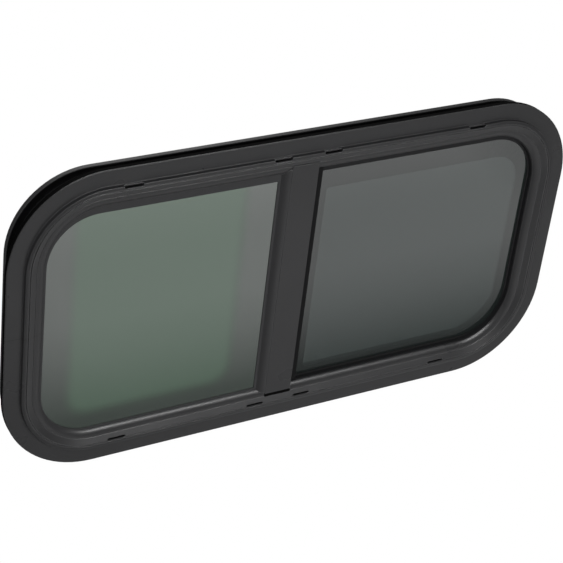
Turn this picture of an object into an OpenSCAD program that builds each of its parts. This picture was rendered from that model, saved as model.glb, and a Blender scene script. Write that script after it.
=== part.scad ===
// Caravan half-slider window with radius corners, seen from outside along +Y.
// X runs to the right as seen from outside, Z is up, and Y runs into the caravan.
// The origin is the window's centre on the outer skin of the wall, where the flange seal bears.
// Section profiles are lists of [inset, depth]: inset is measured from the window's outer
// outline towards its middle, and depth is measured along Y from the wall's outer skin.

/* [Opening in the wall] */
// Width of the cut-out in the caravan wall
cutout_w = 762; // [620:2:1000]
// Height of the cut-out in the caravan wall
cutout_h = 381; // [330:2:600]
// Corner radius of the cut-out
cutout_r = 103; // [90:1:120]
// Thickness of the caravan wall that the window clamps
wall_t = 26; // [24:1:40]

/* [Outer frame] */
// How far the flange covers the wall around the cut-out
flange_overlap = 20; // [18:0.5:21]
// Gap between the cut-out and the frame's sleeve
sleeve_gap = 2; // [1:0.5:3]
// Thickness of the foam seal behind the flange
seal_t = 6.6; // [4:0.1:8]
// Thickness of the flange
flange_t = 1.4; // [1.2:0.1:3]
// Height of the riser between the flange and the band
riser_h = 5.3; // [4:0.1:6]
// Width of the flat band on top of the riser
band_w = 4.4; // [3.6:0.1:5]
// Width of the groove beside the band
groove_w = 1.4; // [1:0.1:1.8]
// Depth of the groove beside the band
groove_d = 1.3; // [0.8:0.1:1.6]
// Fall of the sloping face from the groove to the thin line
face_fall = 4.2; // [3:0.1:4.6]
// Inset of the thin line where the nose starts
nose_start = 37.4; // [36:0.1:39]
// Width of the nose that curves down to the glass
nose_w = 10.2; // [9:0.1:12]
// Depth of the nose from the thin line to its lip
nose_drop = 4.2; // [3.4:0.1:4.6]
// Angle by which the nose turns from the thin line to its lip
nose_turn = 44; // [30:1:44]
// Thickness of the nose at its lip
lip_t = 0.8; // [0.6:0.1:1.4]
// Wall thickness of the frame's sleeve and skin
skin = 1.8; // [1.4:0.1:2.2]
// Thickness of the webs between the channels
web = 1.2; // [1:0.1:1.6]
// How far the webs stand up beside the panes
web_h = 11; // [9:0.5:12]

/* [Drain and vent slots] */
// Length of each slot
slot_l = 25; // [15:1:40]
// Height of the slots in the head
head_slot_h = 5; // [3:0.1:5.4]
// Height of the slots in the sill
sill_slot_h = 3.6; // [2:0.1:4]
// Distance of the outer slots' middles from the start of the corners
outer_slot_in = 34.4; // [20:0.1:60]
// How far to the right both outer slots are moved from there
outer_slot_shift = -3.6; // [-6:0.1:6]
// Distance of the inner slots from the mullion's centre line
inner_slot_x = 35.3; // [30:0.1:60]

/* [Mullion] */
// Position of the mullion's centre line
mullion_x = -11.6; // [-30:0.1:10]
// Width of the mullion's flat face
mullion_w = 38; // [30:0.1:46]
// Width of the mullion's curved side
mullion_nose_w = 12.4; // [10.2:0.1:14]
// Angle by which that side turns from the face to its edge
mullion_turn = 36; // [20:1:40]
// Width of the black strip between the mullion and the sliding pane
side_seal_w = 10; // [6:0.1:12]
// How far the mullion's face stands in front of the thin line
mullion_proud = 1; // [0.6:0.1:2]
// Thickness of the mullion's face
mullion_skin = 1.6; // [1:0.1:1.8]
// Clearance between the mullion's coped ends and the frame's nose
cope_gap = 0.3; // [0.2:0.1:0.6]
// Height of the black gap between the mullion's lower end and the thin line
end_gap = 3.4; // [1:0.1:3.6]
// How far the mullion's upper end laps over the thin line
head_lap = 0.4; // [0:0.1:0.4]

/* [Glass] */
// Thickness of both panes
glass_t = 4; // [3:0.1:5]
// Inset of the hidden edges of the panes
glass_edge = 36; // [35.5:0.1:38]
// Gap between a pane and the hard metal beside it
glass_gap = 0.2; // [0.1:0.1:0.5]
// Visible width of the rubber gasket beside the fixed pane
gasket_w = 3.4; // [2:0.1:5]
// Extra width of that gasket along the head
gasket_head_extra = 7; // [0:0.1:10]
// How much tighter that gasket's inner corners are than the lip's
gasket_corner = 6.5; // [0:0.1:10]
// Overlap of the panes' ends past the mullion's centre line
pane_overlap = 9; // [6:0.5:14]
// Length of each block that carries the fixed pane
block_l = 40; // [20:1:60]

/* [Sliding sash] */
// Visible width of the black weatherseal around the sliding pane
weatherseal_w = 4.4; // [3:0.1:8]
// Extra width of the weatherseal along the head
weatherseal_head_extra = 5.4; // [0:0.1:6]
// Thickness of the weatherseal's blade on the glass
blade_t = 1; // [0.6:0.1:2]
// Width of the weatherseal's foot between the lip and the blade
foot_w = 1.6; // [1:0.1:2.5]
// How much tighter the weatherseal's inner corners are than the lip's
weatherseal_corner = 7.5; // [0:0.1:14]
// Thickness of the frame bonded behind the sliding pane
sash_frame_t = 3; // [2:0.1:4]
// Clearance around that frame past the webs
sash_frame_gap = 2; // [1:0.5:4]
// Inset of the sash frame's opening along the head
sash_open_head = 85.5; // [70:0.1:100]
// Inset of the sash frame's opening along the sill
sash_open_sill = 60.3; // [58:0.1:80]
// Inset of the sash frame's opening along the jamb
sash_open_jamb = 66.3; // [60:0.1:80]
// Distance from the mullion's centre line to the sash frame's opening
sash_open_stile = 43.4; // [36:0.1:60]
// Corner radius of the sash frame's opening on the jamb side
sash_open_r = 42; // [20:1:50]
// Wall of the rubber run that lines the sash channel
run_wall = 0.5; // [0.4:0.1:0.6]

/* [Latch] */
// Width of the latch body
latch_w = 26; // [20:1:28]
// Height of the latch body
latch_h = 62; // [40:1:90]
// Depth of the latch body
latch_d = 9; // [6:0.5:12]
// Height of the latch's middle above the window's centre
latch_z = -8; // [-60:1:60]
// Width of the keeper bonded to the fixed pane
keeper_w = 9.5; // [8:0.5:12]
// How far the latch bolt reaches into the keeper
bolt_reach = 3; // [2:0.5:4]
// Clearance around the latch bolt
bolt_gap = 0.3; // [0.2:0.1:0.5]

/* [Insect screen] */
// Distance from the mullion's centre line to the screen frame's edge
screen_x = 29.4; // [28:0.1:38]
// Width of the screen frame's bars
screen_bar = 16; // [14:0.5:20]
// Thickness of the screen frame
screen_t = 5; // [4.5:0.1:6]
// Gap around the screen frame in its channel
screen_gap = 1.4; // [0.8:0.1:2]
// Thickness of the woven mesh
mesh_t = 0.4; // [0.3:0.1:0.6]
// Width of the spline that holds the mesh
spline_w = 3; // [2.5:0.1:3.5]
// Length of the screen's finger tabs
pull_l = 24; // [16:1:40]
// Height of the screen's finger tabs above and below the window's centre
pull_z = 90; // [40:1:110]

/* [Clamp ring] */
// How far the clamp ring covers the wall around the cut-out
ring_overlap = 8; // [6:0.5:16]
// Depth of the clamp ring's outer rim
ring_d = 8; // [6:0.5:12]
// Wall thickness of the clamp ring
ring_t = 1.6; // [1.2:0.1:2.5]
// How much tighter the clamp ring's corners are than the frame's
ring_corner = 8; // [0:0.5:10]
// Inset of the clamp ring's inner edge
ring_inner = 44; // [43.5:0.1:50]
// Gap between the sleeve's end and the clamp ring's plate
ring_gap = 1.4; // [0.5:0.1:3]

/* [Hidden] */
$fn = 64;
eps = 0.01;

// Outline of the flange
half_w = cutout_w/2 + flange_overlap;
half_h = cutout_h/2 + flange_overlap;
outer_r = cutout_r + flange_overlap;

// Insets and depths of the frame's section
sleeve_u = flange_overlap + sleeve_gap;
sleeve_in = sleeve_u + skin;
front_y = -seal_t - flange_t;
riser_u = sleeve_u - 0.2;
band_y = front_y - riser_h;
band_end = riser_u + 0.9 + band_w;
face_u = band_end + groove_w;
line_y = band_y + 0.1 + face_fall;
line_cut = 0.5;
lip_u = nose_start + nose_w;
lip_y = line_y + nose_drop;
lip_back = lip_y + lip_t;

// Channels for the panes and the screen, one behind the other
floor_u = glass_edge - 2;
web_u = floor_u + web_h;
fixed_y = lip_back + glass_gap;
web1_y = fixed_y + glass_t + 2*glass_gap;
sash_lane = glass_t + 4*run_wall;
web2_y = web1_y + web + sash_lane;
sash_y = web1_y + web + (sash_lane - glass_t)/2;
screen_lane = screen_t + 2*screen_gap;
web3_y = web2_y + web + screen_lane;
screen_y = web2_y + web + screen_gap;
ring_back = wall_t + ring_d;
sleeve_end = ring_back - ring_t - ring_gap;
boss_y = sleeve_end - 7;
slot_floor_u = floor_u - skin;
chamber_y = band_y + 2.9;

// Mullion and the parts that meet it
mullion_l = mullion_x - mullion_w/2;
mullion_r = mullion_x + mullion_w/2;
mullion_y = line_y - mullion_proud;
mullion_foot = -half_h + nose_start + end_gap;
mullion_head = half_h - nose_start + head_lap;
nose_l = mullion_l - mullion_nose_w;
pane_l = -half_w + glass_edge;
pane_r = half_w - glass_edge;
pane_z = half_h - glass_edge;
pane_cr = outer_r - glass_edge;

// Latch, its bolt and its keeper
latch_x = mullion_x - 2;
latch_y = sash_y + glass_t + sash_frame_t;
bolt_z = latch_z + 2;
bolt_h = 8;
bolt_t = 2;
keeper_x = mullion_x - pane_overlap - 0.5 - keeper_w;
recess_y = latch_y + 3;
recess_edge = 5;
recess_end = 12;

// Rebate of the screen frame, its mesh and its spline
rebate_w = 4;
rebate_u = floor_u + glass_gap + screen_bar - rebate_w;
rebate_x = mullion_x + screen_x + screen_bar - rebate_w;
rebate_r = 8;
mesh_y = screen_y + screen_t - 2.8;

// Colours
powder_black = [0.16, 0.16, 0.165];
rubber_black = [0.04, 0.04, 0.042];
glass_green = [0.36, 0.42, 0.39, 0.75];
glass_grey = [0.30, 0.33, 0.33, 0.8];
plastic_black = [0.1, 0.1, 0.1];

// Points of an arc that turns from one heading to another between two given points
function arc_between(a, b, turn, steps) =
    let (chord = norm(b - a), aim = atan2(b[1] - a[1], b[0] - a[0]),
         radius = chord/2/sin(turn/2), start = aim - turn/2)
    [for (i = [0:steps]) a + radius*[sin(start + turn*i/steps) - sin(start),
                                     cos(start) - cos(start + turn*i/steps)]];

// The nose: convex, from nearly flat at the thin line to steep at the lip
function nose_arc(u0, y0) = arc_between([u0, y0], [u0 + nose_w, y0 + nose_drop], nose_turn, 8);

// Section of the bent aluminium frame, from the flange's edge over the riser, band, groove,
// sloping face, thin line and nose to the lip, then back round the channels and the sleeve
frame_section = concat(
    [[0, -seal_t], [0, front_y + 0.6], [0.2, front_y + 0.2], [0.6, front_y],
     [riser_u - 0.4, front_y], [riser_u, front_y - 0.4], [riser_u + 0.4, band_y + 0.7],
     [riser_u + 0.6, band_y + 0.2], [riser_u + 1.1, band_y], [band_end - 0.3, band_y],
     [band_end, band_y + 0.3], [band_end + 0.2, band_y + groove_d],
     [face_u - 0.2, band_y + groove_d], [face_u, band_y + 0.4], [face_u + 0.4, band_y + 0.1],
     [nose_start - 0.6, line_y - 0.3], [nose_start - 0.4, line_y + line_cut],
     [nose_start, line_y + line_cut]],
    nose_arc(nose_start, line_y),
    [[lip_u, lip_back], [floor_u, lip_back], [floor_u, web1_y], [web_u, web1_y],
     [web_u, web1_y + web], [floor_u, web1_y + web], [floor_u, web2_y], [web_u, web2_y],
     [web_u, web2_y + web], [floor_u, web2_y + web], [floor_u, web3_y],
     [web_u - 2, web3_y], [web_u - 2, web3_y + web], [floor_u, web3_y + web],
     [floor_u, sleeve_end], [floor_u - 3.6, sleeve_end], [floor_u - 3.6, boss_y + 1.6],
     [floor_u - 5.4, boss_y + 1.6], [floor_u - 5.4, sleeve_end],
     [floor_u - 7.4, sleeve_end], [floor_u - 7.4, boss_y], [slot_floor_u, boss_y],
     [slot_floor_u, chamber_y + 1.2], [sleeve_in + 0.2, chamber_y], [sleeve_in, sleeve_end],
     [sleeve_u, sleeve_end], [sleeve_u, -seal_t]]);

// Stands the flat working frame up: its depth axis becomes Y
module upright() { rotate([90, 0, 0]) children(); }

// A section swept round a rounded rectangle. Either end can be left open.
module sweep(x0, x1, z0, z1, r, section, left = true, right = true) {
    xa = left ? x0 + r : x0;
    xb = right ? x1 - r : x1;
    mid = (z0 + z1)/2;
    half = (z1 - z0)/2;
    upright() {
        for (s = [0, 1]) {
            translate([xa, mid, 0]) mirror([0, s, 0]) rotate([90, 0, 90])
                linear_extrude(xb - xa) polygon([for (p = section) [half - p[0], -p[1]]]);
            if (right) translate([x1 - r, mid, 0]) mirror([0, s, 0])
                translate([0, half - r, 0]) rotate_extrude(angle = 90)
                    polygon([for (p = section) [r - p[0], -p[1]]]);
            if (left) translate([x0 + r, mid, 0]) mirror([0, s, 0])
                mirror([1, 0, 0]) translate([0, half - r, 0]) rotate_extrude(angle = 90)
                    polygon([for (p = section) [r - p[0], -p[1]]]);
        }
        if (right) translate([0, z1 - r, 0]) rotate([90, 0, 0])
            linear_extrude(z1 - z0 - 2*r) polygon([for (p = section) [x1 - p[0], -p[1]]]);
        if (left) translate([0, z1 - r, 0]) rotate([90, 0, 0])
            linear_extrude(z1 - z0 - 2*r) polygon([for (p = section) [x0 + p[0], -p[1]]]);
    }
}

// The same sweep round the window's outer outline
module sweep_window(section) { sweep(-half_w, half_w, -half_h, half_h, outer_r, section); }

// A sheet between two depths with its own radius on the left and on the right corners
module sheet(x0, x1, z0, z1, y0, y1, rl, rr) {
    translate([0, y1, 0]) rotate([90, 0, 0]) linear_extrude(y1 - y0) union() {
        translate([x0 + rl, z0]) square([x1 - rr - x0 - rl, z1 - z0]);
        if (rl > 0) corners(x0 + rl, z0, z1, rl, -1);
        if (rr > 0) corners(x1 - rr, z0, z1, rr, 1);
    }
}

// The rounded end of a sheet: a strip between two quarter rounds
module corners(x, z0, z1, r, way) {
    translate([way > 0 ? x - eps : x - r, z0 + r]) square([r + eps, z1 - z0 - 2*r]);
    for (z = [z0 + r, z1 - r]) translate([x, z]) circle(r);
}

// A slot with round ends cut along Y
module slot(x, z, l, h, y0, y1) {
    translate([x, y1, z]) rotate([90, 0, 0]) linear_extrude(y1 - y0) union() {
        square([l - h, h], center = true);
        for (s = [-1, 1]) translate([s*(l - h)/2, 0]) circle(h/2);
    }
}

// The vent slots through the head's riser and band, and the drain slots through the sill's
// groove and sloping face
module frame_slots() {
    head_u = riser_u - 1.1 + head_slot_h/2;
    sill_u = band_end + 0.5 + sill_slot_h/2;
    outer = half_w - outer_r - outer_slot_in;
    for (x = [outer_slot_shift - outer, mullion_x - inner_slot_x,
              mullion_x + inner_slot_x, outer_slot_shift + outer]) {
        slot(x, half_h - head_u, slot_l, head_slot_h, band_y - 2, chamber_y + 0.4);
        slot(x, -half_h + sill_u, slot_l, sill_slot_h, band_y - 2, chamber_y + 1.8);
    }
}

// The bent frame with its flange, nose, three channels, screw groove and slots
module outer_frame() {
    color(powder_black) difference() {
        sweep_window(frame_section);
        frame_slots();
    }
}

// Foam seal between the flange and the wall
module wall_seal() {
    edge = 0.3;
    color(rubber_black) sweep_window([[edge, -seal_t], [sleeve_u - edge, -seal_t],
        [sleeve_u - edge, 0], [edge, 0]]);
}

// Ring that clamps the wall from inside: its rim bears on the wall, its plate takes the
// screws and its inner leg covers the channels
module clamp_ring() {
    ring_u = flange_overlap - ring_overlap;
    leg_end = web3_y + web + glass_gap;
    chamfer = ring_t*0.9;
    section = [[ring_u, wall_t], [ring_u, ring_back - chamfer], [ring_u + chamfer, ring_back],
        [ring_inner - chamfer, ring_back], [ring_inner, ring_back - chamfer],
        [ring_inner, leg_end], [ring_inner - ring_t, leg_end],
        [ring_inner - ring_t, ring_back - ring_t], [ring_u + ring_t, ring_back - ring_t],
        [ring_u + ring_t, wall_t]];
    color(powder_black) sweep(-half_w, half_w, -half_h, half_h, outer_r - ring_corner, section);
}

// Space of the frame's nose and lip across the mullion's ends, grown by the cope clearance
module nose_space() {
    section = concat([[nose_start - 12, line_y - cope_gap]],
        [for (p = nose_arc(nose_start, line_y)) p + [cope_gap*0.6, -cope_gap]],
        [[lip_u + cope_gap, lip_back + cope_gap], [nose_start - 12, lip_back + cope_gap]]);
    for (s = [0, 1]) mirror([0, 0, s]) upright() translate([nose_l - 2, 0, 0])
        rotate([90, 0, 90]) linear_extrude(mullion_r - nose_l + 4)
            polygon([for (p = section) [half_h - p[0], -p[1]]]);
}

// Mullion: flat face, curved nose beside the fixed pane and a leg beside the sash.
// Its ends are coped over the frame's nose.
module mullion() {
    leg_y = fixed_y - glass_gap;
    inner = nose_l + 4;
    section = concat(
        [[mullion_r, leg_y], [mullion_r, mullion_y + 0.6], [mullion_r - 0.6, mullion_y],
         [mullion_l + 0.3, mullion_y], [mullion_l, mullion_y + 0.3]],
        [for (p = arc_between([0.3, mullion_y + 0.9], [mullion_nose_w, lip_y], mullion_turn, 8))
            [mullion_l - p[0], p[1]]],
        [[nose_l, lip_back], [inner, lip_back], [inner + 5, mullion_y + 3.4],
         [mullion_r - mullion_skin, mullion_y + mullion_skin], [mullion_r - mullion_skin, leg_y]]);
    color(powder_black) difference() {
        translate([0, 0, mullion_foot]) linear_extrude(mullion_head - mullion_foot)
            polygon(section);
        nose_space();
    }
}

// Black seal that closes the gap under the mullion's lower end
module mullion_end_seals() {
    color(rubber_black) translate([mullion_l + 1, line_y - mullion_proud/2,
        mullion_foot - end_gap + 0.1])
        cube([mullion_w - 2, mullion_proud/2 - 0.05, end_gap - 0.1]);
}

// Black strip beside the mullion that wipes the sliding pane
module mullion_side_seal() {
    z = half_h - lip_u - 0.5;
    front = lip_y + 1;
    color(rubber_black) translate([mullion_r, front, -z])
        cube([side_seal_w, sash_y - glass_gap - front, 2*z]);
}

module fixed_glass() {
    color(glass_green) sheet(pane_l, mullion_x + pane_overlap, -pane_z, pane_z,
        fixed_y, fixed_y + glass_t, pane_cr, 0);
}

// Rubber gasket in front of the fixed pane, wider along the head
module fixed_glass_gasket() {
    front = lip_y + 0.1;
    color(rubber_black) difference() {
        sheet(-half_w + lip_u + 0.1, nose_l - 0.1, -half_h + lip_u + 0.1, half_h - lip_u - 0.1,
            front, fixed_y, outer_r - lip_u - 0.1, 0);
        sheet(-half_w + lip_u + gasket_w, nose_l - gasket_w, -half_h + lip_u + gasket_w,
            half_h - lip_u - gasket_w - gasket_head_extra, front - 1, fixed_y + 1,
            outer_r - lip_u - gasket_w - gasket_corner, 0);
    }
}

// Thin strip between the fixed pane and the web behind it
module fixed_glass_back_strip() {
    section = [[glass_edge + 2, fixed_y + glass_t], [web_u - 1, fixed_y + glass_t],
        [web_u - 1, web1_y], [glass_edge + 2, web1_y]];
    color(rubber_black) sweep(-half_w, mullion_x, -half_h, half_h, outer_r, section, right = false);
}

// Two blocks that carry the fixed pane on the channel's floor
module fixed_glass_setting_blocks() {
    left = -half_w + outer_r;
    for (share = [1/4, 3/4])
        color(rubber_black) translate([left + (nose_l - left)*share - block_l/2, fixed_y,
            -half_h + floor_u]) cube([block_l, glass_t, glass_edge - floor_u]);
}

module sash_glass() {
    color(glass_grey) sheet(mullion_x - pane_overlap, pane_r, -pane_z, pane_z,
        sash_y, sash_y + glass_t, 0, pane_cr);
}

// Weatherseal: a foot behind the lip and a blade that lies on the sliding pane
module sash_weatherseal() {
    front = lip_y + 0.4;
    back = sash_y - glass_gap;
    start = mullion_r + side_seal_w + 0.1;
    foot = lip_u + foot_w;
    color(rubber_black) difference() {
        sheet(start, half_w - lip_u - 0.1, -half_h + lip_u + 0.1, half_h - lip_u - 0.1,
            front, back, 0, outer_r - lip_u - 0.1);
        sheet(start - 1, half_w - foot, -half_h + foot, half_h - foot,
            front - 1, back - blade_t, 0, outer_r - foot);
        sheet(start - 1, half_w - lip_u - weatherseal_w, -half_h + lip_u + weatherseal_w,
            half_h - lip_u - weatherseal_w - weatherseal_head_extra, front - 1, back + 1, 0,
            outer_r - lip_u - weatherseal_w - weatherseal_corner);
    }
}

// Frame bonded behind the sliding pane, which carries the latch
module sash_back_frame() {
    edge = web_u + sash_frame_gap;
    y0 = sash_y + glass_t;
    color(plastic_black) difference() {
        sheet(mullion_x - pane_overlap + 1, half_w - edge, -half_h + edge, half_h - edge,
            y0, y0 + sash_frame_t, 3, outer_r - edge);
        sheet(mullion_x + sash_open_stile, half_w - sash_open_jamb, -half_h + sash_open_sill,
            half_h - sash_open_head, y0 - 1, y0 + sash_frame_t + 1, 5, sash_open_r);
    }
}

// Rubber run that lines the sash channel round the head, jamb and sill
module sash_glass_run() {
    base = floor_u + 0.1;
    bed = glass_edge - glass_gap;
    top = web_u - 0.5;
    ya = web1_y + web;
    yb = web2_y;
    section = [[base, ya], [top, ya], [top, ya + run_wall], [bed, ya + run_wall],
        [bed, yb - run_wall], [top, yb - run_wall], [top, yb], [base, yb]];
    color(rubber_black) sweep(mullion_x - pane_overlap, half_w, -half_h, half_h, outer_r,
        section, left = false);
}

// Pile strip between the two panes where they overlap
module sash_meeting_seal() {
    z = half_h - web_u - 1;
    color(rubber_black) translate([mullion_x - pane_overlap + 1, fixed_y + glass_t, -z])
        cube([6, sash_y - fixed_y - glass_t, 2*z]);
}

// Latch housing on the sash frame's stile, with a finger recess and a way out for the bolt
module sash_latch_body() {
    color(plastic_black) difference() {
        sheet(latch_x, latch_x + latch_w, latch_z - latch_h/2, latch_z + latch_h/2,
            latch_y, latch_y + latch_d, 5, 5);
        sheet(latch_x + recess_edge, latch_x + latch_w - recess_edge,
            latch_z - latch_h/2 + recess_end, latch_z + latch_h/2 - recess_end,
            recess_y, latch_y + latch_d + 1, 4, 4);
        translate([latch_x - 1, recess_y, bolt_z - bolt_gap])
            cube([recess_edge + 2, bolt_t + 2*bolt_gap, bolt_h + 2*bolt_gap]);
    }
}

// Finger lever in the latch housing's recess, with the bolt that enters the keeper
module sash_latch_lever() {
    edge = recess_edge + bolt_gap;
    start = keeper_x + keeper_w - bolt_reach;
    color(powder_black) union() {
        sheet(latch_x + edge, latch_x + latch_w - edge, latch_z - 10,
            latch_z + latch_h/2 - recess_end - bolt_gap, recess_y, recess_y + 2, 3, 3);
        sheet(latch_x + edge + 1.7, latch_x + latch_w - edge - 1.7, latch_z - 10, latch_z - 4,
            recess_y + 1, recess_y + latch_d - 2, 2, 2);
        translate([start, recess_y + bolt_gap, bolt_z])
            cube([latch_x + 2*recess_edge - start, bolt_t, bolt_h]);
    }
}

// Keeper bonded to the fixed pane's inner face, with a pocket for the bolt
module latch_keeper() {
    y0 = fixed_y + glass_t;
    color(plastic_black) difference() {
        translate([keeper_x, y0, bolt_z - 6])
            cube([keeper_w, latch_y + latch_d - 1 - y0, bolt_h + 12]);
        translate([keeper_x + keeper_w - bolt_reach - bolt_gap, recess_y, bolt_z - bolt_gap])
            cube([bolt_reach + 1, bolt_t + 2*bolt_gap, bolt_h + 2*bolt_gap]);
    }
}

// Screen frame, rebated on the room side for the mesh and its spline
module screen_frame() {
    outer = floor_u + glass_gap;
    inner = outer + screen_bar;
    left = mullion_x + screen_x;
    color(powder_black) difference() {
        sheet(left, half_w - outer, -half_h + outer, half_h - outer,
            screen_y, screen_y + screen_t, 4, outer_r - outer);
        sheet(left + screen_bar, half_w - inner, -half_h + inner, half_h - inner,
            screen_y - 1, screen_y + screen_t + 1, 4, outer_r - inner);
        sheet(rebate_x, half_w - rebate_u, -half_h + rebate_u, half_h - rebate_u,
            mesh_y, screen_y + screen_t + 1, rebate_r, outer_r - rebate_u);
    }
}

// Woven insect mesh that lies on the rebate
module screen_mesh() {
    edge = rebate_u + 0.2;
    color([0.25, 0.26, 0.26]) sheet(rebate_x + 0.2, half_w - edge, -half_h + edge, half_h - edge,
        mesh_y, mesh_y + mesh_t, rebate_r - 0.2, outer_r - edge);
}

// Rubber spline that presses the mesh onto the rebate
module screen_spline() {
    edge = rebate_u + 0.3;
    inner = edge + spline_w;
    y0 = mesh_y + mesh_t;
    color(rubber_black) difference() {
        sheet(rebate_x + 0.3, half_w - edge, -half_h + edge, half_h - edge,
            y0, y0 + 2, rebate_r - 0.3, outer_r - edge);
        sheet(rebate_x + 0.3 + spline_w, half_w - inner, -half_h + inner, half_h - inner,
            y0 - 1, y0 + 3, rebate_r - 0.3 - spline_w, outer_r - inner);
    }
}

// Two finger tabs on the screen's stile
module screen_pulls() {
    color(plastic_black) for (z = [-pull_z, pull_z])
        translate([mullion_x + screen_x + 2, screen_y + screen_t, z - pull_l/2])
            cube([screen_bar/2, 4, pull_l]);
}

outer_frame();
wall_seal();
clamp_ring();
mullion();
mullion_end_seals();
mullion_side_seal();
fixed_glass();
fixed_glass_gasket();
fixed_glass_back_strip();
fixed_glass_setting_blocks();
sash_glass();
sash_weatherseal();
sash_back_frame();
sash_glass_run();
sash_meeting_seal();
sash_latch_body();
sash_latch_lever();
latch_keeper();
screen_frame();
screen_mesh();
screen_spline();
screen_pulls();
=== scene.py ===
"""Looks of the caravan window: powder-coated frame, tinted panes, seals, screen and screws."""
import math

import bmesh
import bpy
from mathutils import Matrix, Vector


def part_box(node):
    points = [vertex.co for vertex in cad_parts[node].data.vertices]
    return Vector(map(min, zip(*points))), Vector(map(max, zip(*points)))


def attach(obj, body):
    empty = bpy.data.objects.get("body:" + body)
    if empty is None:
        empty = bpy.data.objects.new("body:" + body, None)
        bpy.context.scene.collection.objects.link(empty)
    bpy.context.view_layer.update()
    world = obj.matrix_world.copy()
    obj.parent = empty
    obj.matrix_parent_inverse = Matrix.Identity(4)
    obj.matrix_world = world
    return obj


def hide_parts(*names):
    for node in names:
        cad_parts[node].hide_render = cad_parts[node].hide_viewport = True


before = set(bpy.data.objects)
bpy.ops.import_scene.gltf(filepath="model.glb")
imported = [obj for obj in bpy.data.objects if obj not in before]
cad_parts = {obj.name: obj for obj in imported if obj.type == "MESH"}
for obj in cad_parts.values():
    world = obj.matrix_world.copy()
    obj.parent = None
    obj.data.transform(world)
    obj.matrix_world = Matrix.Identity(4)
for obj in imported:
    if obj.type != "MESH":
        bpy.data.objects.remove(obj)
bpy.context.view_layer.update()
MM = 0.001

# Camera of the photograph: 563 by 563 pixels, square pixels, no shift
CAMERA_AT = (-1.08428, -1.64839, 1.22250)
CAMERA_AIM = (-0.02587, -0.00800, 0.00478)
CAMERA_ROLL = 7.168
CAMERA_LENS = 115.48
SENSOR = 36.0

# Rounding that the coat gives to the edges of the bent section
EDGE_RADIUS = 1.2 * MM

# Butt joint of the bent frame, half way up its left jamb
JOINT_Z = 0.0
JOINT_WIDTH = 0.5 * MM
JOINT_BEFORE_X = -0.3

# Screws of the clamp ring: their line in from its edge, their places along X and along Z, and
# how many degrees each is turned past the one before
SCREW_INSET = 16 * MM
SCREWS_X = (-0.27, -0.135, 0.0, 0.135, 0.27)
SCREWS_Z = (-0.085, 0.0, 0.085)
SCREW_TURN = 37

# Screw head: its radius, how far its back is sunk, the steps of its dome as (rise, scale), the
# rise of its crown, and its cross recess
HEAD_RADIUS = 3.8 * MM
HEAD_SINK = 0.1 * MM
HEAD_STEPS = ((0.5 * MM, 0.9), (0.4 * MM, 0.76))
HEAD_CROWN = 0.2 * MM
CROSS_ARM = 1.8 * MM
CROSS_HALF = 0.45 * MM
CROSS_DEPTH = 0.9 * MM
CROSS_TAPER = 0.8

# Near-black pad under the mullion's lower end, painted shade in the gap there: its left side, its
# depth and height, the rounding of its edges, how far it laps the mullion and how far its middle
# lies behind the mullion's face
PAD_LEFT = -31 * MM
PAD_DEPTH = 1.6 * MM
PAD_HEIGHT = 5.0 * MM
PAD_ROUND = 0.3 * MM
PAD_LAP = 0.1 * MM
PAD_BEHIND = 0.9 * MM

# Angle in degrees past which an edge is sharp, on the CAD pieces and on new ones
CAD_SHARP = 24
NEW_SHARP = 35

# Places read from the frame, and how far the floor lies below it
FRAME_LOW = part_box("outer_frame")[0]
RING_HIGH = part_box("clamp_ring")[1]
MULLION_LOW, MULLION_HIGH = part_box("mullion")
FLOOR_Z = FRAME_LOW.z - 0.9

# Light of the studio: the world's fill, what gloss sees of the world, and the painted light and
# shade of the floor's glow that gloss sees, as (distance in front of or behind the object,
# strength) and (distance to the right of FLOOR_LEFT, share of that strength)
WORLD_FILL = 0.25
WORLD_GLOSS = 0.25
FLOOR_PAINTED_LIGHT = ((0.0, 0.5), (0.85, 0.5), (1.07, 0.14), (1.16, 0.18), (1.23, 0.40), (1.28, 0.55),
               (1.37, 0.78), (1.50, 1.0), (1.75, 1.04), (1.87, 1.15), (1.95, 1.25), (2.06, 0.4),
               (2.6, 0.2))
FLOOR_LEFT = -0.35
FLOOR_SIDE_PAINTED_SHADE = ((0.0, 0.2), (0.75, 1.0), (2.1, 1.0), (2.7, 0.35))

# Softboxes: name, place, aim, width, height, power, and whether gloss and matt surfaces see them
SOFTBOXES = (
    ("key_softbox", (0.30, -2.0, 0.87), (0, 0, 0), 1.0, 0.45, 26, True, True),
    ("glint_strip", (1.05, -2.0, 0.87), (0, 0, 0), 0.5, 0.45, 8, True, False),
    ("front_fill", (0.5, -2.4, -0.1), (0, 0, 0), 1.6, 1.2, 9, False, True),
    ("left_fill", (-1.9, -0.6, 1.3), (0, 0, 0), 1.0, 1.2, 15, False, True),
    ("low_fill", (0.1, -0.55, -0.8), (0, 0, -0.1), 1.2, 0.3, 2.5, False, True),
    ("back_fill", (0.4, 2.4, 1.4), (0, 0, 0), 2.0, 1.4, 30, True, True),
)

# Toughened glass, set above the 1.52 of plain glass to reach the gloss of the photograph
GLASS_IOR = 1.62

# Coat of the frame, mullion and screen frame
COAT = {"colour": "#29292A", "worn": "#59595A", "roughness": 0.3, "sheen": 0.35,
        "grain_mm": 1.6, "depth_mm": 0.03}


def linear(code):
    """Linear RGBA of an sRGB hex colour."""
    channels = [int(code[i:i + 2], 16) / 255 for i in (1, 3, 5)]
    return [c / 12.92 if c <= 0.04045 else ((c + 0.055) / 1.055) ** 2.4 for c in channels] + [1.0]


def add(tree, kind, links=None, **settings):
    """A node with its settings, and its inputs linked to sockets or set to values."""
    node = tree.nodes.new("ShaderNode" + kind)
    for name, value in settings.items():
        setattr(node, name, value)
    for name, value in (links or {}).items():
        if isinstance(value, bpy.types.NodeSocket):
            tree.links.new(value, node.inputs[name])
        else:
            node.inputs[name].default_value = value
    return node


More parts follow.
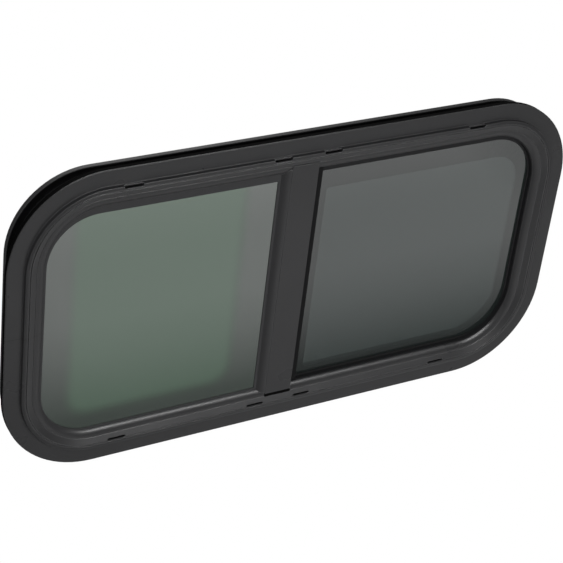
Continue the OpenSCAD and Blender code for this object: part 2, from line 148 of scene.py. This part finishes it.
def new_material(name):
    """An empty node material and its output node."""
    material = bpy.data.materials.new(name)
    material.use_nodes = True
    tree = material.node_tree
    tree.nodes.clear()
    return material, tree, add(tree, "OutputMaterial")


def powder_coat(name, colour, worn, roughness, sheen, grain_mm, depth_mm, joint=False):
    """Polyester powder coat, sprayed and baked: fine orange peel, thinner and paler on edges."""
    material, tree, out = new_material(name)
    place = add(tree, "TexCoord").outputs["Object"]
    grain = add(tree, "TexNoise", {"Vector": place, "Scale": 1 / (grain_mm * MM), "Detail": 2.0})
    cloud = add(tree, "TexNoise", {"Vector": place, "Scale": 1 / (60 * MM), "Detail": 3.0})
    rounded = add(tree, "Bevel", {"Radius": EDGE_RADIUS}, samples=8).outputs["Normal"]
    bump = add(tree, "Bump", {"Height": grain.outputs["Fac"], "Strength": 0.35,
                              "Distance": depth_mm * MM, "Normal": rounded})
    # How far the rounded normal turns from the flat one says where an edge is
    flat = add(tree, "NewGeometry").outputs["Normal"]
    turn = add(tree, "VectorMath", {0: flat, 1: rounded}, operation="DOT_PRODUCT")
    edge = add(tree, "MapRange", {"Value": turn.outputs["Value"], "From Min": 1.0,
                                  "From Max": 0.85})
    rub = add(tree, "MapRange", {"Value": cloud.outputs["Fac"], "From Min": 0.3,
                                 "From Max": 0.7, "To Min": 0.6})
    patch = add(tree, "Math", {0: edge.outputs["Result"], 1: rub.outputs["Result"]},
                operation="MULTIPLY")
    tint = add(tree, "Mix", {"Factor": patch.outputs[0], 6: linear(colour), 7: linear(worn)},
               data_type="RGBA").outputs[2]
    if joint:
        line = joint_line(tree, place)
        tint = add(tree, "Mix", {"Factor": line, 6: tint, 7: linear("#0A0A0A")},
                   data_type="RGBA").outputs[2]
    tone = add(tree, "MapRange", {"Value": cloud.outputs["Fac"], "From Min": 0.3, "From Max": 0.7,
                                  "To Min": roughness - 0.03, "To Max": roughness + 0.03})
    polish = add(tree, "Mix", {"Factor": patch.outputs[0], 2: tone.outputs["Result"],
                               3: roughness * 0.7}, data_type="FLOAT")
    shader = add(tree, "BsdfPrincipled", {"Base Color": tint, "Roughness": polish.outputs[0],
                                          "Specular IOR Level": sheen,
                                          "Normal": bump.outputs["Normal"]})
    tree.links.new(shader.outputs["BSDF"], out.inputs["Surface"])
    return material


def joint_line(tree, place):
    """1 on the hairline where the two ends of the bent frame meet, and 0 elsewhere."""
    axes = add(tree, "SeparateXYZ", {"Vector": place})
    near = add(tree, "Math", {0: axes.outputs["Z"], 1: JOINT_Z, 2: JOINT_WIDTH / 2},
               operation="COMPARE")
    left = add(tree, "Math", {0: axes.outputs["X"], 1: JOINT_BEFORE_X}, operation="LESS_THAN")
    return add(tree, "Math", {0: near.outputs[0], 1: left.outputs[0]},
               operation="MULTIPLY").outputs[0]


def zinc_steel(name, colour, roughness):
    """Black zinc on steel, plated and waxed: dark metal with a faint mottle."""
    material, tree, out = new_material(name)
    place = add(tree, "TexCoord").outputs["Object"]
    cloud = add(tree, "TexNoise", {"Vector": place, "Scale": 1 / (2 * MM), "Detail": 3.0})
    tone = add(tree, "MapRange", {"Value": cloud.outputs["Fac"], "To Min": roughness - 0.08,
                                  "To Max": roughness + 0.08})
    bump = add(tree, "Bump", {"Height": cloud.outputs["Fac"], "Strength": 0.2,
                              "Distance": 0.03 * MM})
    shader = add(tree, "BsdfPrincipled", {"Base Color": linear(colour), "Metallic": 1.0,
                                          "Roughness": tone.outputs["Result"],
                                          "Normal": bump.outputs["Normal"]})
    tree.links.new(shader.outputs["BSDF"], out.inputs["Surface"])
    return material


def matt_polymer(name, colour, roughness, sheen, grain_mm=0.8):
    """EPDM rubber, foam or moulded nylon: matt, with a faint grain in its skin."""
    material, tree, out = new_material(name)
    place = add(tree, "TexCoord").outputs["Object"]
    grain = add(tree, "TexNoise", {"Vector": place, "Scale": 1 / (grain_mm * MM), "Detail": 3.0})
    bump = add(tree, "Bump", {"Height": grain.outputs["Fac"], "Strength": 0.3,
                              "Distance": 0.05 * MM})
    shader = add(tree, "BsdfPrincipled", {"Base Color": linear(colour), "Roughness": roughness,
                                          "Specular IOR Level": sheen,
                                          "Normal": bump.outputs["Normal"]})
    tree.links.new(shader.outputs["BSDF"], out.inputs["Surface"])
    return material


def tinted_glass(name, colour, clear, painted_shade=None):
    """Body-tinted toughened glass, floated: clear gloss, a tint and a faint haze in its body."""
    material, tree, out = new_material(name)
    place = add(tree, "TexCoord").outputs["Object"]
    # Roller wave of the toughening furnace, and a film of dust that dulls the gloss a little
    wave = add(tree, "TexNoise", {"Vector": place, "Scale": 1 / (90 * MM), "Detail": 1.0})
    film = add(tree, "TexNoise", {"Vector": place, "Scale": 1 / (35 * MM), "Detail": 4.0})
    dull = add(tree, "MapRange", {"Value": film.outputs["Fac"], "From Min": 0.45,
                                  "From Max": 0.8, "To Max": 0.05})
    bump = add(tree, "Bump", {"Height": wave.outputs["Fac"], "Strength": 1.0,
                              "Distance": 0.03 * MM})
    shader = add(tree, "BsdfPrincipled", {"Base Color": linear(colour), "IOR": GLASS_IOR,
                                          "Specular IOR Level": 1.0,
                                          "Roughness": dull.outputs["Result"],
                                          "Transmission Weight": clear,
                                          "Normal": bump.outputs["Normal"]})
    # Painted shade: a darker, less clear border round the pane, faded inwards from its clear area
    if painted_shade:
        edge = round_border(tree, place, *painted_shade["clear_area"])
        tint = add(tree, "Mix", {"Factor": edge, 6: linear(colour), 7: linear(painted_shade["colour"])},
                   data_type="RGBA")
        painted_shade_clear = add(tree, "MapRange", {"Value": edge, "To Min": clear,
                                              "To Max": painted_shade["clear"]})
        tree.links.new(tint.outputs[2], shader.inputs["Base Color"])
        tree.links.new(painted_shade_clear.outputs["Result"], shader.inputs["Transmission Weight"])
    tree.links.new(shader.outputs["BSDF"], out.inputs["Surface"])
    return material


def round_border(tree, place, left, right, low, high, radius, fade):
    """0 inside a rounded rectangle across X and Z in millimetres, and 1 beyond its soft edge."""
    axes = add(tree, "SeparateXYZ", {"Vector": place})
    over = []
    for axis, start, end in (("X", left, right), ("Z", low, high)):
        off = add(tree, "Math", {0: axes.outputs[axis], 1: (start + end) / 2 * MM},
                  operation="SUBTRACT")
        off = add(tree, "Math", {0: off.outputs[0]}, operation="ABSOLUTE")
        off = add(tree, "Math", {0: off.outputs[0], 1: ((end - start) / 2 - radius) * MM},
                  operation="SUBTRACT")
        over.append(add(tree, "Math", {0: off.outputs[0], 1: 0.0}, operation="MAXIMUM"))
    square = [add(tree, "Math", {0: off.outputs[0], 1: 2.0}, operation="POWER") for off in over]
    total = add(tree, "Math", {0: square[0].outputs[0], 1: square[1].outputs[0]}, operation="ADD")
    far = add(tree, "Math", {0: total.outputs[0]}, operation="SQRT")
    edge = add(tree, "MapRange", {"Value": far.outputs[0], "From Min": (radius - fade) * MM,
                                  "From Max": (radius + fade) * MM},
               interpolation_type="SMOOTHSTEP")
    return edge.outputs["Result"]


def insect_mesh(name, colour, pitch_mm, thread_mm):
    """Coated glass-fibre mesh, plain woven: square holes between dark threads."""
    material, tree, out = new_material(name)
    place = add(tree, "TexCoord").outputs["Object"]
    axes = add(tree, "SeparateXYZ", {"Vector": place})
    holes = []
    for axis in ("X", "Z"):
        turn = add(tree, "Math", {0: axes.outputs[axis], 1: pitch_mm * MM}, operation="DIVIDE")
        part = add(tree, "Math", {0: turn.outputs[0]}, operation="FRACT")
        holes.append(add(tree, "Math", {0: part.outputs[0], 1: thread_mm / pitch_mm},
                         operation="GREATER_THAN"))
    hole = add(tree, "Math", {0: holes[0].outputs[0], 1: holes[1].outputs[0]},
               operation="MULTIPLY")
    thread = add(tree, "BsdfPrincipled", {"Base Color": linear(colour), "Roughness": 0.6})
    clear = add(tree, "BsdfTransparent")
    mix = add(tree, "MixShader", {0: hole.outputs[0], 1: thread.outputs["BSDF"],
                                  2: clear.outputs["BSDF"]})
    tree.links.new(mix.outputs["Shader"], out.inputs["Surface"])
    return material


def dress(node, material):
    """A smooth-shaded copy of a CAD node's mesh, which stands for the node."""
    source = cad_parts[node]
    mesh = source.data.copy()
    mesh.name = node + "_finish"
    mesh.attributes.remove(mesh.attributes["custom_normal"])
    shape = bmesh.new()
    shape.from_mesh(mesh)
    bmesh.ops.remove_doubles(shape, verts=shape.verts, dist=0.002 * MM)
    shape.to_mesh(mesh)
    shape.free()
    mesh.materials.clear()
    mesh.materials.append(material)
    for face in mesh.polygons:
        face.use_smooth = True
    mesh.set_sharp_from_angle(angle=math.radians(CAD_SHARP))
    piece = bpy.data.objects.new(node + "_finish", mesh)
    bpy.context.scene.collection.objects.link(piece)
    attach(piece, "root")
    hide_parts(node)
    return piece


def paint(node, material):
    """A CAD node that stays as it is, with a finished material."""
    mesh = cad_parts[node].data
    mesh.materials.clear()
    mesh.materials.append(material)


def new_piece(name, shape, material):
    """A bmesh made into a smooth-shaded piece of the object."""
    mesh = bpy.data.meshes.new(name)
    shape.to_mesh(mesh)
    shape.free()
    mesh.materials.append(material)
    for face in mesh.polygons:
        face.use_smooth = True
    mesh.set_sharp_from_angle(angle=math.radians(NEW_SHARP))
    piece = bpy.data.objects.new(name, mesh)
    bpy.context.scene.collection.objects.link(piece)
    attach(piece, "root")
    return piece


def screw_head():
    """Mesh of an oval head with a cross recess, facing +Z, its flat back just below 0."""
    shape = bmesh.new()
    bmesh.ops.create_circle(shape, segments=24, radius=HEAD_RADIUS)
    bmesh.ops.translate(shape, verts=shape.verts, vec=(0, 0, -HEAD_SINK))
    rim = edges = shape.edges[:]
    for rise, scale in HEAD_STEPS:
        grown = bmesh.ops.extrude_edge_only(shape, edges=edges)["geom"]
        ring = [g for g in grown if isinstance(g, bmesh.types.BMVert)]
        edges = [g for g in grown if isinstance(g, bmesh.types.BMEdge)
                 and all(v in ring for v in g.verts)]
        bmesh.ops.translate(shape, verts=ring, vec=(0, 0, rise))
        bmesh.ops.scale(shape, verts=ring, vec=(scale, scale, 1))
    crown = ring[0].co.z + HEAD_CROWN
    # A circle of 12 points is pulled into the outline of the cross
    cross = bmesh.ops.create_circle(shape, segments=12, radius=1)["verts"]
    arm, half = CROSS_ARM, CROSS_HALF
    for vert, corner in zip(cross, ((half, arm), (-half, arm), (-half, half), (-arm, half),
                                    (-arm, -half), (-half, -half), (-half, -arm),
                                    (half, -arm), (half, -half), (arm, -half), (arm, half),
                                    (half, half))):
        vert.co = (corner[0], corner[1], crown)
    outline = [e for e in shape.edges if all(v in cross for v in e.verts)]
    bmesh.ops.bridge_loops(shape, edges=edges + outline)
    grown = bmesh.ops.extrude_edge_only(shape, edges=outline)["geom"]
    floor = [g for g in grown if isinstance(g, bmesh.types.BMVert)]
    bmesh.ops.translate(shape, verts=floor, vec=(0, 0, -CROSS_DEPTH))
    bmesh.ops.scale(shape, verts=floor, vec=(CROSS_TAPER, CROSS_TAPER, 1))
    bmesh.ops.contextual_create(shape, geom=floor)
    bmesh.ops.contextual_create(shape, geom=rim)
    bmesh.ops.recalc_face_normals(shape, faces=shape.faces)
    mesh = bpy.data.meshes.new("screw_head")
    shape.to_mesh(mesh)
    shape.free()
    return mesh


def ring_screws():
    """The screws that draw the clamp ring to the frame, each turned as it was driven."""
    head = screw_head()
    x_line, z_line = RING_HIGH.x - SCREW_INSET, RING_HIGH.z - SCREW_INSET
    places = [(x, side * z_line) for side in (-1, 1) for x in SCREWS_X]
    places += [(side * x_line, z) for side in (-1, 1) for z in SCREWS_Z]
    face_back = Matrix.Rotation(math.radians(-90), 4, "X")
    shape = bmesh.new()
    for count, (x, z) in enumerate(places):
        start = len(shape.verts)
        shape.from_mesh(head)
        shape.verts.ensure_lookup_table()
        driven = Matrix.Rotation(math.radians(count * SCREW_TURN), 4, "Z")
        bmesh.ops.transform(shape, verts=shape.verts[start:],
                            matrix=Matrix.Translation((x, RING_HIGH.y, z)) @ face_back @ driven)
    new_piece("clamp_ring_screws", shape, screw_metal)


def mullion_shade_pad():
    """A near-black pad between the mullion's lower end and the frame's nose: painted shade."""
    top = MULLION_LOW.z + PAD_LAP
    shape = bmesh.new()
    bmesh.ops.create_cube(shape, size=1)
    bmesh.ops.scale(shape, verts=shape.verts,
                    vec=(MULLION_HIGH.x - PAD_LEFT, PAD_DEPTH, PAD_HEIGHT))
    bmesh.ops.bevel(shape, geom=shape.edges[:], offset=PAD_ROUND, offset_type="OFFSET",
                    segments=2, profile=0.5, affect="EDGES", material=-1)
    bmesh.ops.translate(shape, verts=shape.verts,
                        vec=((PAD_LEFT + MULLION_HIGH.x) / 2, MULLION_LOW.y + PAD_BEHIND,
                             top - PAD_HEIGHT / 2))
    new_piece("mullion_end_shade_pad", shape, pad_painted_shade)


def camera():
    """The camera of the photograph, rolled as it was held."""
    data = bpy.data.cameras.new("photo_camera")
    data.lens = CAMERA_LENS
    data.sensor_width = SENSOR
    data.clip_end = 50
    obj = bpy.data.objects.new("photo_camera", data)
    bpy.context.scene.collection.objects.link(obj)
    look = Vector(CAMERA_AIM) - Vector(CAMERA_AT)
    turn = look.to_track_quat("-Z", "Y").to_matrix().to_4x4()
    roll = Matrix.Rotation(math.radians(CAMERA_ROLL), 4, "Z")
    obj.matrix_world = Matrix.Translation(Vector(CAMERA_AT)) @ turn @ roll
    bpy.context.scene.camera = obj


def softbox(name, at, aim, width, height, power, in_gloss, in_matt):
    """A rectangular soft light that no pane shows."""
    data = bpy.data.lights.new(name, "AREA")
    data.shape = "RECTANGLE"
    data.size = width
    data.size_y = height
    data.energy = power
    obj = bpy.data.objects.new(name, data)
    obj.location = at
    obj.rotation_euler = (Vector(aim) - Vector(at)).to_track_quat("-Z", "Y").to_euler()
    obj.visible_glossy = in_gloss
    obj.visible_diffuse = in_matt
    obj.visible_transmission = False
    bpy.context.scene.collection.objects.link(obj)


def seen_rays(tree):
    """1 on camera and transmission rays, which see a white studio."""
    path = add(tree, "LightPath")
    return add(tree, "Math", {0: path.outputs["Is Camera Ray"],
                              1: path.outputs["Is Transmission Ray"]},
               operation="MAXIMUM").outputs[0]


def graph(tree, value, points):
    """A curve through (value, result) pairs, drawn on a scale of their largest numbers."""
    wide, tall = max(p[0] for p in points), max(p[1] for p in points)
    share = add(tree, "Math", {0: value, 1: wide}, operation="DIVIDE")
    curve = add(tree, "ValToRGB", {"Fac": share.outputs[0]})
    stops = curve.color_ramp.elements
    while len(stops) < len(points):
        stops.new(0.5)
    for stop, (at, result) in zip(stops, points):
        stop.position = at / wide
        stop.color = [result / tall] * 3 + [1.0]
    return add(tree, "Math", {0: curve.outputs["Color"], 1: tall}, operation="MULTIPLY").outputs[0]


def studio():
    """White studio: soft world, a floor with painted light and shade in its glow, and softboxes.
    """
    world = bpy.data.worlds.new("studio")
    bpy.context.scene.world = world
    world.use_nodes = True
    tree = world.node_tree
    tree.nodes.clear()
    fill = add(tree, "Background", {"Color": (1, 1, 1, 1), "Strength": WORLD_FILL})
    gloss = add(tree, "Background", {"Color": (1, 1, 1, 1), "Strength": WORLD_GLOSS})
    around = add(tree, "MixShader", {0: add(tree, "LightPath").outputs["Is Glossy Ray"],
                                     1: fill.outputs[0], 2: gloss.outputs[0]})
    white = add(tree, "Background", {"Color": (1, 1, 1, 1), "Strength": 1.0})
    mix = add(tree, "MixShader", {0: seen_rays(tree), 1: around.outputs[0], 2: white.outputs[0]})
    tree.links.new(mix.outputs[0], add(tree, "OutputWorld").inputs["Surface"])

    shape = bmesh.new()
    bmesh.ops.create_grid(shape, x_segments=1, y_segments=1, size=12)
    bmesh.ops.translate(shape, verts=shape.verts, vec=(0, 0, FLOOR_Z))
    mesh = bpy.data.meshes.new("floor")
    shape.to_mesh(mesh)
    shape.free()
    floor = bpy.data.objects.new("floor", mesh)
    bpy.context.scene.collection.objects.link(floor)
    material, tree, out = new_material("white_floor")
    # Painted light and shade in the floor's glow, seen only by gloss: bright beside the object, a
    # painted shadow band around it, bright again further out, and dimmer to the left
    place = add(tree, "SeparateXYZ", {"Vector": add(tree, "TexCoord").outputs["Object"]})
    away = add(tree, "Math", {0: place.outputs["Y"]}, operation="ABSOLUTE").outputs[0]
    painted_floor_light = graph(tree, away, FLOOR_PAINTED_LIGHT)
    right = add(tree, "Math", {0: place.outputs["X"], 1: FLOOR_LEFT}, operation="SUBTRACT")
    side = graph(tree, right.outputs[0], FLOOR_SIDE_PAINTED_SHADE)
    painted_floor_light = add(tree, "Math", {0: painted_floor_light, 1: side}, operation="MULTIPLY")
    path = add(tree, "LightPath")
    painted_floor_glow = add(tree, "Emission", {"Color": (1, 1, 1, 1), "Strength": painted_floor_light.outputs[0]})
    matt = add(tree, "BsdfDiffuse", {"Color": linear("#F4F4F4")})
    mirrored = add(tree, "MixShader", {0: path.outputs["Is Glossy Ray"], 1: matt.outputs[0],
                                       2: painted_floor_glow.outputs[0]})
    white = add(tree, "Emission", {"Color": (1, 1, 1, 1), "Strength": 1.0})
    mix = add(tree, "MixShader", {0: seen_rays(tree), 1: mirrored.outputs[0],
                                  2: white.outputs[0]})
    tree.links.new(mix.outputs[0], out.inputs["Surface"])
    mesh.materials.append(material)

    for box in SOFTBOXES:
        softbox(*box)


camera()
studio()
bpy.context.scene.view_settings.view_transform = "Standard"

coat = powder_coat("powder_coated_aluminium", **COAT)
frame_coat = powder_coat("powder_coated_frame", joint=True, **COAT)
ring_coat = powder_coat("powder_coated_ring", colour="#323233", worn="#59595A", roughness=0.5,
                        sheen=0.2, grain_mm=1.6, depth_mm=0.03)
screw_metal = zinc_steel("black_zinc_steel", "#4A4A4E", roughness=0.35)
seal_rubber = matt_polymer("epdm_rubber", "#0C0C0D", roughness=0.7, sheen=0.15)
gasket_rubber = matt_polymer("epdm_gasket", "#303031", roughness=0.45, sheen=0.15)
blade_rubber = matt_polymer("epdm_blade_seal", "#1F1F20", roughness=0.6, sheen=0.1)
# Near-black pad: painted shade in the gap under the mullion's lower end
pad_painted_shade = matt_polymer("black_pad_painted_shade", "#050505", roughness=0.8, sheen=0.05)
# Black foam of the wall seal, made far darker than real foam so it also stands for the shade
# behind the flange: partly painted shade
foam = matt_polymer("closed_cell_foam_and_shade", "#060606", roughness=0.95, sheen=0.05, grain_mm=1.5)
nylon = matt_polymer("moulded_nylon", "#141415", roughness=0.45, sheen=0.3, grain_mm=0.6)
# Painted shade round the fixed pane's edge: darker and less clear, faded inwards
fixed_tint = tinted_glass("green_tinted_glass", "#4F6254", clear=0.75,
                          painted_shade={"colour": "#38403B", "clear": 0.15,
                                 "clear_area": (-314, -87, -137, 190, 30, 10)})
sash_tint = tinted_glass("grey_tinted_glass", "#444D4B", clear=0.787)
# Real mesh has a pitch of about 1.4 mm, too fine to show, so it is drawn twice as coarse
weave = insect_mesh("glass_fibre_mesh", "#3C3E3E", pitch_mm=3.0, thread_mm=0.7)

dress("fixed_glass_gasket", gasket_rubber)
dress("sash_weatherseal", blade_rubber)
dress("outer_frame", frame_coat)
dress("clamp_ring", ring_coat)
dress("mullion", coat)
for name in ("mullion_end_seals", "mullion_side_seal", "fixed_glass_back_strip",
             "fixed_glass_setting_blocks", "sash_glass_run", "sash_meeting_seal",
             "screen_spline"):
    dress(name, seal_rubber)
dress("wall_seal", foam)
for name in ("sash_back_frame", "sash_latch_body", "sash_latch_lever", "latch_keeper",
             "screen_pulls"):
    dress(name, nylon)
dress("screen_frame", coat)
paint("fixed_glass", fixed_tint)
paint("sash_glass", sash_tint)
paint("screen_mesh", weave)
ring_screws()
mullion_shade_pad()
